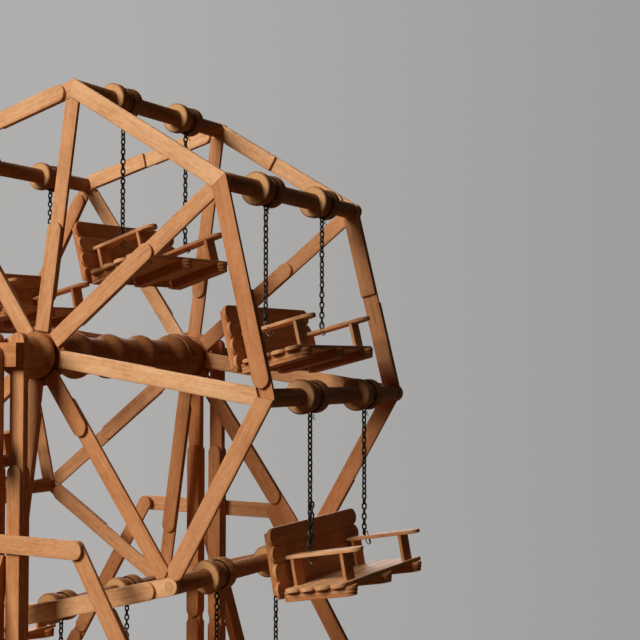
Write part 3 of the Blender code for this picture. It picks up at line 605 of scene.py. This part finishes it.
axleLook = {
    "dowel": 0.0048,
    "tenon": 0.0032,
    "cap": 0.0020,
    "nearReach": 0.0020,                # how far a tenon goes into the near frame
    "proudReach": 0.00245,
    "proudTenon": 3,                    # the one that shows through the rear ply
    "farReach": 0.0043,
    "spoolAt": (-0.0271, 0.0347),
    "spoolLength": 0.0170,
    "flatDisc": 0.0092,
    "domedDisc": 0.0089,
    "groove": 0.0075,
    "grooveWidth": 0.0026,
    "flatShare": 0.38,
    # the two discs' edges along Y, from the middle of the groove
    "frontDisc": (-0.0114, -0.0050),
    "rearDisc": (0.0008, 0.0096),
    "neck": 0.0066,
    "beadPower": 2.4,
}


def grooveAt(spool):                    # the middle of a spool's groove along Y
    return spool - axleLook["spoolLength"] * (0.5 - axleLook["flatShare"]) + axleLook["grooveWidth"] / 2


grooves = [grooveAt(spool) for spool in axleLook["spoolAt"]]
seatY = sum(grooves) / 2


def spoolProfile(spool):
    # a flat disc with a plain face, a deep neck, the seat of the chain's ring, and a bead
    look, middle = axleLook, grooveAt(spool)
    start, groove = (middle + y for y in look["frontDisc"])
    after, end = (middle + y for y in look["rearDisc"])
    flat, domed, dowel = look["flatDisc"], look["domedDisc"], look["dowel"]
    seat, neck = look["groove"], look["neck"]
    profile = [(start, dowel), (start, flat - 0.0008), (start + 0.0005, flat),
               (groove - 0.0020, flat - 0.0001), (groove - 0.0004, flat - 0.0007),
               (groove + 0.0004, neck), (middle - 0.0018, neck), (middle - 0.0008, seat - 0.0002),
               (middle + 0.0006, seat), (after, seat + 0.0004)]
    for place in np.linspace(-1.0, 1.0, 9):     # the bead falls away from its middle as |place|^2.4
        fall = (0.0005 if place < 0 else 0.0024) * abs(place) ** look["beadPower"]
        profile.append((after + 0.0004 + (end - after - 0.0005) * (place + 1) / 2, domed - fall))
    profile += [(end, domed - 0.0030), (end, dowel)]
    return profile


def makeRimAxles():
    look = axleLook
    dowel, tenon = look["dowel"], look["tenon"]
    inner = wheel["innerHalf"] - clearance
    cap = wheel["innerHalf"] + look["farReach"]
    for index in range(wheel["sides"]):
        axle = turnedShape(f"turnedRimAxle{index + 1}", "wheel", f"rim_axle_{index + 1}")
        nearTip = -inner - look["proudReach" if index == look["proudTenon"] else "nearReach"]
        profile = [(nearTip, 0.0), (nearTip, tenon), (-inner, tenon), (-inner, dowel)]
        for spool in look["spoolAt"]:
            profile += spoolProfile(spool)
        profile += [(inner, dowel), (inner, tenon), (cap, tenon), (cap, dowel),
                    (cap + look["cap"], dowel), (cap + look["cap"], 0.0)]
        addTurned(axle, profile, hubCentre + rimVertex(index), 44, tone=chance.uniform(0.0, 0.15))
        axle.made()


makeRimAxles()
print("rim axles made")


# Hub spindle, main axle and crank

hubLook = {
    "units": 4,
    "ring": 0.0134,
    "endRing": 0.0150,
    "body": 0.0107,
    "endLength": 0.0200,
    "bore": 0.0033,
    "axle": 0.0030,
    "collar": 0.0065,
    "collarLength": 0.0020,
    "plate": 0.0079,                    # from a post's middle to its bearing plate's outer face
    "cap": 0.0030,
    "nearPly": 0.0023,
    "farPly": 0.0043,
}
towerY = {"near": -0.0975, "far": 0.0900}
postHalf = 0.0040
crankLook = {"throw": 0.0480, "pin": 0.0020, "knob": 0.0085, "waist": 0.0058, "knobLength": 0.0190,
             "head": 0.0020}


def hubUnit(start, length, ring=None, span=(0.58, 0.88)):
    # a straight body, a cove that rises as 3 s^2 - 2 s^3, a short ring and a sharp step down
    body, ring = hubLook["body"], ring or hubLook["ring"]
    low, high = span
    rows = [(start, body), (start + length * low, body)]
    for s in np.linspace(0.0, 1.0, 9)[1:]:
        rise = (ring - body) * (3 * s * s - 2 * s ** 3)
        rows.append((start + length * (low + (high - low) * s), body + rise))
    rows += [(start + length * 0.965, ring - 0.0003), (start + length * 0.975, body)]
    return rows


def makeSpindle():
    look = hubLook
    half = wheel["innerHalf"] - clearance
    unit = (2 * half - look["endLength"]) / look["units"]
    hub = turnedShape("turnedHub", "wheel", "hub")
    profile = [(-half, look["bore"])]
    for index in range(look["units"] - 1):
        profile += hubUnit(-half + index * unit, unit)
    # the last unit flares straight into the end disc, which has two fine grooves
    endStart = half - look["endLength"]
    body, ring = look["body"], look["endRing"]
    profile += hubUnit(endStart - unit, unit, ring - 0.0009, (0.58, 0.94))[:-2]
    steps = ((-0.0008, 0.0009), (0.0000, 0.0016), (0.0008, 0.0005), (0.0034, 0.0), (0.0040, 0.0008),
             (0.0047, 0.0), (0.0105, 0.0002), (0.0122, 0.0012), (0.0132, 0.0034))
    profile += [(endStart + along, ring - dip) for along, dip in steps]
    profile += [(half, body + 0.0010), (half, look["bore"]), (-half, look["bore"])]
    addTurned(hub, profile, hubCentre, 56, tone=0.05)
    hub.made()

    plate, post = look["plate"] + clearance, postHalf + clearance
    nearEnd = towerY["near"] - plate - 2 * stickLook["thickness"] - look["cap"]
    nearInner, farInner = towerY["near"] + post, towerY["far"] - post
    nearFace, farFace = -wheel["innerHalf"] - look["nearPly"], wheel["innerHalf"] + look["farPly"]
    axle, collar = look["axle"], look["collar"]
    collarStart = nearFace - look["collarLength"]
    shaft = turnedShape("turnedMainAxle", "wheel", "main_axle")
    profile = [(nearEnd, 0.0), (nearEnd, axle), (nearInner, axle)]
    profile += hubUnit(nearInner, collarStart - nearInner)
    profile += [(collarStart, collar), (nearFace, collar), (nearFace, axle), (farFace, axle),
                (farFace, collar), (farInner, collar), (farInner, axle)]
    cap = towerY["far"] + plate
    profile += [(cap, axle), (cap, collar), (cap + look["cap"], collar), (cap + look["cap"], 0.0)]
    addTurned(shaft, profile, hubCentre, 40, tone=0.45)
    shaft.made()


def makeCrank():
    thick = stickLook["thickness"]
    armBack = towerY["near"] - hubLook["plate"] - clearance
    armY = armBack - thick
    half = stickLook["width"] / 2
    length = crankLook["throw"] + stickLook["width"]
    arm = stickShape("crankArmSticks", "wheel", "crank_arm")
    for ply in (-0.5, 0.5):
        y = armY + ply * (thick - stickLook["glueSink"])
        addStick(arm, hubCentre + (0, y, half), -axisZ, axisX, length, bow=0.0)
    pinTop = hubCentre - axisZ * crankLook["throw"]
    knobBack = armBack - 2 * thick - clearance
    knobFront = knobBack - crankLook["knobLength"]
    head = knobFront - clearance
    tip = head - crankLook["head"]
    pin, waist = crankLook["pin"], crankLook["waist"]
    profile = [(armY, 0), (armY, pin), (head, pin), (head, waist), (tip, waist), (tip, 0)]
    addTurned(arm, profile, pinTop, 28, ease=0.0006)
    arm.made()
    knob = turnedShape("crankKnobTurned", "knob", "crank_knob")
    bore, full = pin + clearance, crankLook["knob"]
    belly = []
    for s in np.linspace(0.0, 1.0, 13):     # a cotton-reel curve: full at both ends, waisted between
        swell = (full - waist) * abs(math.cos(math.pi * s)) ** 1.5
        belly.append((knobBack - crankLook["knobLength"] * s, waist + swell))
    profile = [(knobBack, bore)] + belly + [(knobFront, bore), (knobBack, bore)]
    addTurned(knob, profile, pinTop, 32, tone=0.7)
    knob.made()


makeSpindle()
makeCrank()
print("spindle and crank made")


# Chains

links = {
    "drop": 0.0770,                     # from the rim axle down to the bench's wire loop
    "pitch": 0.00293,
    "outerLength": 0.0045,
    "outerWidth": 0.0033,
    "wire": 0.00052,                    # radius
    "ringWire": 0.00042,
    "tailWire": 0.00022,
    "doubled": {3: 7, 6: 6},            # near chains hooked back on themselves, and by how many links
}
# how each bench really hangs: its shift in metres, and its yaw, tilt and roll in degrees
hang = {
    1: ((-0.0030, -0.0030, -0.0024), (-2.6, -15.0, 0.8)),
    2: ((-0.0022, 0.0022, 0.0046), (0.1, -13.4, 0.3)),
    3: ((0.0024, -0.0024, -0.0023), (-2.2, -10.0, 1.7)),
    4: ((0.0010, 0.0010, -0.0006), (1.6, -11.0, -0.8)),
    5: ((-0.0008, -0.0012, 0.0008), (-1.2, -12.5, 0.6)),
    6: ((0.0006, 0.0014, -0.0010), (0.9, -10.6, 0.2)),
    7: ((-0.0012, 0.0006, 0.0012), (1.9, -12.2, -0.5)),
    8: ((0.0008, -0.0010, 0.0004), (-0.7, -11.6, 0.9)),
}


def linkPath(centre, turn):
    # a round-ended oval standing on end: two half circles joined by straights, turned about Z
    r = links["outerWidth"] / 2 - links["wire"]
    straight = (links["outerLength"] - links["outerWidth"]) / 2
    t = around(10) + math.pi / 10
    x = r * np.cos(t)
    z = r * np.sin(t) + np.sign(np.sin(t)) * straight
    side = np.array([math.cos(turn), math.sin(turn), 0.0])
    return centre + x[:, None] * side + z[:, None] * axisZ, np.cross(side, axisZ)


def makeChain(index, side, grooveY):
    chain = Shape(f"linkChain{index}{side.capitalize()}", f"hanger_{index}", "chain", "black_chain",
                  [f"chain_{index}_{side}"])
    ring = axleLook["groove"] + links["ringWire"] + 0.0001
    t = around(28)
    loop = np.stack([ring * np.cos(t), 0.0002 * np.sin(3 * t), ring * np.sin(t)], -1)
    addTube(chain, loop, links["ringWire"], 6, closed=True, flat=axisY)
    # the ring's ends twist together into a short pigtail beside the first link
    s = np.linspace(0.0, 1.0, 22)
    lean = chance.uniform(-0.5, 0.5)
    twist = np.stack([0.0005 * np.cos(14 * s) + 0.0022 * np.sin(lean) * s + 0.0011,
                      0.0005 * np.sin(14 * s) + 0.0012 * s,
                      -ring - 0.0042 * s], -1)
    addTube(chain, twist, links["tailWire"], 5)
    reach = links["outerLength"] / 2 - 2 * links["wire"]
    top = -ring + links["ringWire"] - reach
    bottom = -links["drop"] + hang[index][0][2] + 0.0002 + reach
    count = round((top - bottom) / links["pitch"]) + 1
    heights = np.linspace(top, bottom, count)
    begin = chance.uniform(-0.35, 0.35)
    turns = begin + np.cumsum(math.pi / 2 + chance.uniform(-0.16, 0.16, count))
    for height, turn in zip(heights, turns):
        path, flat = linkPath(np.array([0.0, 0.0, height]), turn)
        addTube(chain, path, links["wire"], 5, closed=True, flat=flat)
    if side == "near" and index in links["doubled"]:
        back = heights[-1 - links["doubled"][index]:-1] + 0.0012
        for number, height in enumerate(back):
            path, flat = linkPath(np.array([0.0016, -0.0012, height]), 0.8 + number * math.pi / 2)
            addTube(chain, path, links["wire"], 5, closed=True, flat=flat)
    place = hubCentre + rimVertex(index - 1) + axisY * grooveY
    chain.made(place=place)             # hangs plumb; the bench's shift is taken up by its wires


for number in range(1, wheel["sides"] + 1):
    for side, grooveY in zip(("near", "far"), grooves):
        makeChain(number, side, grooveY)
print("chains made")


# The hanging benches

benchLook = {
    "slats": 4,
    "slatWidth": 0.0092,
    "slatLength": 0.0896,
    "uneven": (-0.0006, 0.0002),
    "floorTop": -0.0170,
    "floorRear": -0.0118,
    "joistAt": (-0.0365, 0.0, 0.0345),
    "joistStart": -0.0135,
    "joistEnd": 0.0282,
    "joistPly": 0.0018,
    "backFront": -0.0138,
    "backLow": -0.0222,
    "supportAt": 0.0374,
    "supportShort": 0.0016,
    "armHeight": 0.0140,
    "armFront": 0.0310,
    "armAt": (-0.0298, 0.0334),
    "posts": (0.0205, -0.0100),
    "hookWidth": 0.0022,
    "hookWire": 0.00034,
    "curlWire": 0.00026,
}


def makeBench(number, pivot):
    look, body = benchLook, f"seat_{number}"
    thick, width = stickLook["thickness"], stickLook["width"]
    shift, (yaw, tilt, roll) = hang[number]
    rotation = Matrix.Identity(3)
    for degrees, axis in ((yaw, "Z"), (roll, "X"), (tilt, "Y")):
        rotation = rotation @ Matrix.Rotation(math.radians(degrees), 3, axis)
    pivot = pivot + np.array(shift)
    seatTone = chance.uniform(0.05, 0.45)

    # each piece's tone varies at random about the seat's; the offsets below add painted light on the slats
    # and arms and painted shade on the joists and supports
    def tone():
        return float(np.clip(seatTone + chance.uniform(-0.25, 0.25), 0, 1))

    bench = stickShape(f"benchSticks{number}", body, body + "_bench")
    floorZ = look["floorTop"] - thick / 2
    half = look["slatLength"] / 2
    for slat in range(look["slats"]):
        x = look["floorRear"] + (slat + 0.5) * look["slatWidth"]
        slip = chance.uniform(-0.0012, 0.0002)
        z = floorZ + chance.uniform(-0.00012, 0)
        length = look["slatLength"] + 0.0006 + chance.uniform(*look["uneven"])
        # the slats' tone is raised: painted light on the seat
        addStick(bench, (x, -half + slip, z), axisY, axisX, length, width=look["slatWidth"],
                 tone=tone() + 0.4)
    for y in look["joistAt"]:           # three thin plies under the slats, their tone lowered: painted shade under the seat
        for ply in range(3):
            z = floorZ - thick / 2 - look["joistPly"] * (ply + 0.5) + 0.0001 * (ply + 1)
            addStick(bench, (look["joistStart"], y + ply * 0.0002, z), axisX, axisY,
                     look["joistEnd"] - look["joistStart"] - ply * 0.0006, "cut", "round",
                     width=width - 0.0003, thickness=look["joistPly"], tone=tone() * 0.6, bow=0.0)
    armZ = look["floorTop"] + look["armHeight"]
    armStart = look["backFront"] + 0.0003
    for y in look["armAt"]:
        # the arms' tone is raised: painted light on their tops
        addStick(bench, (armStart, y, armZ + thick / 2), axisX, axisY, look["armFront"] - armStart,
                 "cut", "round", tone=tone() + 0.3, bow=0.0)
        for x in look["posts"]:
            addStick(bench, (x, y, look["floorTop"] - 0.0001), axisZ, axisY, look["armHeight"] + 0.0002,
                     "cut", "cut", width=width - 0.0008, tone=tone(), bow=0.0)
    bench.made(rotation, pivot)

    back = stickShape(f"backrestSticks{number}", body, body + "_back")
    slatX = look["backFront"] - thick / 2
    for slat in range(look["slats"]):
        z = look["backLow"] + (slat + 0.5) * look["slatWidth"]
        slip = chance.uniform(-0.0006, 0.0006)
        x = slatX - chance.uniform(0, 0.00012)
        length = look["slatLength"] + chance.uniform(*look["uneven"])
        addStick(back, (x, -half + slip, z), axisY, axisZ, length, width=look["slatWidth"] + 0.0001,
                 tone=tone())
    behind = look["backFront"] - 1.5 * thick + 0.0001
    height = look["slats"] * look["slatWidth"] - look["supportShort"]
    for side in (-1, 1):                # two plies, the rear one a little shorter, their tone lowered: painted shade behind the back
        for ply in range(2):
            x, z = behind - ply * (thick - 0.0002), look["backLow"] + 0.0022 * ply
            addStick(back, (x, side * look["supportAt"], z), axisZ, axisY, height - 0.0030 * ply,
                     "cut", "cut", tone=tone() * 0.4, bow=0.0)
    back.made(rotation, pivot)

    wires = Shape(f"benchWires{number}", body, "wire", "black_chain")
    reach = look["hookWidth"] / 2
    under = look["floorTop"] + look["armHeight"]        # the arm's lower face
    t, s = np.linspace(-1.0, 1.0, 17), np.linspace(0.0, 1.0, 20)
    for count, groove in enumerate(grooves):
        # a hook over the last link, its crown as t to the sixth: one leg runs out into an open
        # curl under the arm, the other into a short stub
        x0, y = -shift[0], groove - seatY - shift[1]
        leg = 0.0010 + (under - 0.0022) * t ** 6
        hook = np.stack([x0 + reach * np.sign(t) * np.abs(t) ** 0.5, y + 0 * t, leg], -1)
        addTube(wires, hook, look["hookWire"], 6, flat=axisY)
        curl = chance.uniform(0.8, 1.25) * (1.0 if count == 0 else 0.62)
        angle = 4.4 * s + 0.3
        tail = np.stack([x0 - reach + 0.0026 * curl * (1 - np.cos(angle)) - 0.0003 * s, y - 0.0016 * s,
                         under - 0.0004 - 0.0032 * curl * (np.sin(angle) + 0.7 * s)], -1)
        stub = np.stack([x0 + reach + 0.0005 * s, y - 0.0005 * s, under - 0.0004 - 0.0034 * curl * s], -1)
        for path in (tail, stub):
            addTube(wires, path, look["curlWire"], 6)
    wires.made(rotation, pivot)


for number in range(1, wheel["sides"] + 1):
    makeBench(number, hubCentre + rimVertex(number - 1) + axisY * seatY - axisZ * links["drop"])
print("benches made")


# Towers and baseboard

towerLook = {
    "postX": 0.00865,
    "top": 0.0120,                      # above the axle
    "doublerDrop": 0.0585,
    "joint": 0.0004,
    "firstJoints": (0.060, 0.104),      # staggered, in the two core plies
    "lastJoint": 0.01,                  # no joint nearer the top than this
    "bearingHeight": 0.0130,
    "braceDrop": 0.1000,
    "legTopX": 0.0520,
    "legSplay": 32.0,
    "legDoublerStart": 0.0380,
    "strutDrop": 0.1080,
    "strutSplay": 23.5,
    "floor": 0.0123,                    # top of the baseboard, with the glue line
}
boardThick, boardEase = 0.0120, 0.0016


def makeTower(side):
    look = towerLook
    outward = -1.0 if side == "near" else 1.0
    centre = hubCentre + axisY * towerY[side]
    floor = look["floor"] - wheel["hubHeight"]
    length, width, thick = (stickLook[key] for key in ("length", "width", "thickness"))
    sink = stickLook["glueSink"]
    narrow = width - stickLook["plyStep"]

    def stick(shape, *place, low=0.0, high=0.35, **more):     # the towers' sticks are the reddest
        addStick(shape, *place, bow=0.0, tone=chance.uniform(low, high), **more)

    posts = stickShape(side + "PostSticks", "stand", side + "_posts")
    for x in (-look["postX"], look["postX"]):
        for ply, firstJoint in zip((-1, 1), look["firstJoints"]):
            y = ply * (thick - sink) / 2
            bottom = floor
            joints = [floor + firstJoint + k * length for k in range(4)]
            for upper in [z for z in joints if z < look["top"] - look["lastJoint"]]:
                stick(posts, centre + (x, y, bottom), axisZ, axisX, upper - bottom - 0.0002, "cut", "cut")
                bottom = upper
            stick(posts, centre + (x, y, bottom), axisZ, axisX, look["top"] - bottom, "cut", "round")
        for step in range(2):
            z = -look["doublerDrop"] - (step + 1) * (length + look["joint"]) + look["joint"]
            for ply in (-1, 1):
                start = centre + (x, ply * (1.5 * thick - sink), z)
                stick(posts, start, axisZ, axisX, length, "cut" if step else "round", "round", narrow)
    reach = look["postX"] + width / 2
    for ply in range(3):
        start = centre + (-reach, outward * (postHalf - sink - thick + (ply + 0.5) * thick), 0)
        stick(posts, start, axisX, axisZ, 2 * reach, "cut", "cut", width=look["bearingHeight"])
    posts.made()

    brace = stickShape(side + "BraceStick", "stand", side + "_brace")
    start = centre + (-length / 2, outward * (postHalf + clearance + thick / 2), -look["braceDrop"])
    stick(brace, start, axisX, axisZ, length, low=0.55, high=0.75)
    brace.made()

    slope = math.radians(look["legSplay"])
    cut = math.tan(slope)
    total = (-look["braceDrop"] - floor) / math.cos(slope) + width / 2
    lower, doubler = length + look["joint"], look["legDoublerStart"]
    for label, direction in (("left", -1.0), ("right", 1.0)):
        leg = stickShape(f"{side}{label.capitalize()}LegSticks", "stand", f"{side}_leg_{label}")
        run = np.array([direction * math.sin(slope), 0.0, -math.cos(slope)])
        across = np.array([direction * math.cos(slope), 0.0, math.sin(slope)])
        legTop = (direction * look["legTopX"], outward * (postHalf - thick), -look["braceDrop"])
        face = centre + legTop - run * width / 2 - axisY * thick / 2
        back = face + axisY * (thick - sink)
        stick(leg, face, run, across, length)
        stick(leg, face + run * lower, run, across, total - lower, "round", "cut", endSlant=cut)
        stick(leg, back + run * doubler, run, across, total - doubler, "round", "cut", narrow, endSlant=cut)
        leg.made()

    slope = math.radians(look["strutSplay"])
    strut = stickShape(side + "StrutSticks", "stand", side + "_strut")
    run = np.array([0.0, outward * math.sin(slope), -math.cos(slope)])
    across = np.array([0.0, outward * math.cos(slope), math.sin(slope)])
    total = (-look["strutDrop"] - floor) / math.cos(slope)
    for ply in (-1, 0, 1):
        start = centre + (ply * (thick - sink), 0, -look["strutDrop"])
        stick(strut, start, run, across, total, "cut", "cut", width - abs(ply) * 0.0003,
              endSlant=math.tan(slope))
    strut.made()


for side in ("near", "far"):
    makeTower(side)


def makeBoard():
    low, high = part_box("base_board")
    board = Shape("sandedBaseboard", "stand", "board", "baseboard", ["base_board"])
    addStick(board, (low.x, (low.y + high.y) / 2, boardThick / 2), axisX, axisY, high.x - low.x, "cut", "cut",
             width=high.y - low.y, thickness=boardThick, ease=boardEase, tone=0.5, bow=0.0)
    board.made()


makeBoard()
print("towers and baseboard made")


# Floor, light and camera

studio = {
    "left": (0.430, 0.424, 0.415),      # the wall's tone at the left and right of the view, with painted light falloff: lighter at the left
    "right": (0.345, 0.341, 0.333),
    "ambient": (0.019, 0.012, 0.007),
    "floor": (0.55, 0.543, 0.53),
    "floorBounce": (0.14, 0.13, 0.12),
    "glossyShare": 0.35,                # of the wall's tone in a mirrored ray
    "floorFade": (0.30, 0.62),
}
lamps = {                               # power, size, and place as seen from the hub
    "key": (55.0, 1.0, (-0.52, -1.82, 1.00)),
    "back": (30.0, 1.2, (-1.30, 1.70, 0.55)),       # lights only what the main view can't see
    "fill": (0.3, 1.4, (1.6, -1.0, 1.2)),
}
view = {
    "at": (0.4698, -0.5877, 0.2935),
    "back": (0.49130, -0.87014, -0.03874),
    "right": (0.87080, 0.49167, 0.0),
    "lens": 68.8,
    "sensor": 36.0,
    "clipStart": 0.01,
}


def makeWorld():                        # a wall painted lighter at the left of the set than at the right: painted falloff of the light
    world = bpy.data.worlds.new("studio")
    bpy.context.scene.world = world
    graph = Graph(world)
    sockets = {0: graph.place("Generated"), 1: view["right"]}
    side = graph.node("ShaderNodeVectorMath", {"operation": "DOT_PRODUCT"}, sockets, "Value")
    # the wall's painted light falloff, from left to right
    wall = graph.blend((side * 2.4 + 0.42).above(0.0).below(1.0), studio["left"], studio["right"])
    mirrored = graph.ray("Glossy") * studio["glossyShare"]
    seen = graph.ray("Camera").above(mirrored).above(graph.ray("Transmission"))
    colour = graph.blend(seen, studio["ambient"], wall)
    graph.join(colour, graph.tree.nodes["Background"].inputs["Color"])


def makeFloor():
    # a round floor that takes the shadow near the object and fades into the wall's own tone
    t = around(96)[None, :]
    r = np.array([0.0, 0.3, 0.6, 0.9, 1.4, 2.2, 3.4])[:, None]
    points = np.stack([r * np.cos(t), r * np.sin(t), -0.0006 + 0 * r * t], -1)
    floor = bpy.data.meshes.new("studioFloor")
    floor.from_pydata(points.reshape(-1, 3).tolist(), [], gridFaces(*points.shape[:2], loopV=True).tolist())
    welded(floor)
    graph = Graph(bpy.data.materials.new("studio floor"))
    graph.set(Base_Color=graph.blend(graph.ray("Camera"), studio["floorBounce"], studio["floor"]),
              Roughness=0.9, Specular_IOR_Level=0.1)
    far = graph.length(graph.place("Object")).step(*studio["floorFade"])
    clear = graph.node("ShaderNodeBsdfTransparent")
    mixed = graph.node("ShaderNodeMixShader", {}, {0: far, 1: Wire(graph, graph.shader.outputs[0]), 2: clear})
    graph.join(mixed, graph.tree.nodes["Material Output"].inputs["Surface"])
    floor.materials.append(graph.owner)
    ground = placed("studioFloor", floor)


def makeLamp(name, power, size, way):
    data = bpy.data.lights.new(name, "AREA")
    data.energy, data.size = power, size
    way = Vector(way)
    turn = way.to_track_quat("Z", "Y").to_matrix().to_4x4()
    placed(name, data).matrix_world = Matrix.Translation(Vector(hubCentre) + way) @ turn


def makeCamera():
    data = bpy.data.cameras.new("camera")
    data.lens, data.sensor_width, data.sensor_fit = view["lens"], view["sensor"], "HORIZONTAL"
    data.clip_start = view["clipStart"]
    back, right = Vector(view["back"]).normalized(), Vector(view["right"]).normalized()
    up = back.cross(right).normalized()
    turn = Matrix((right, up, back)).transposed().to_4x4()
    camera = placed("camera", data)
    camera.matrix_world = Matrix.Translation(view["at"]) @ turn
    bpy.context.scene.camera = camera


makeWorld()
makeFloor()
for name, (power, size, way) in lamps.items():
    makeLamp(name, power, size, way)
makeCamera()
bpy.context.scene.view_settings.view_transform = "Standard"
print("studio made")
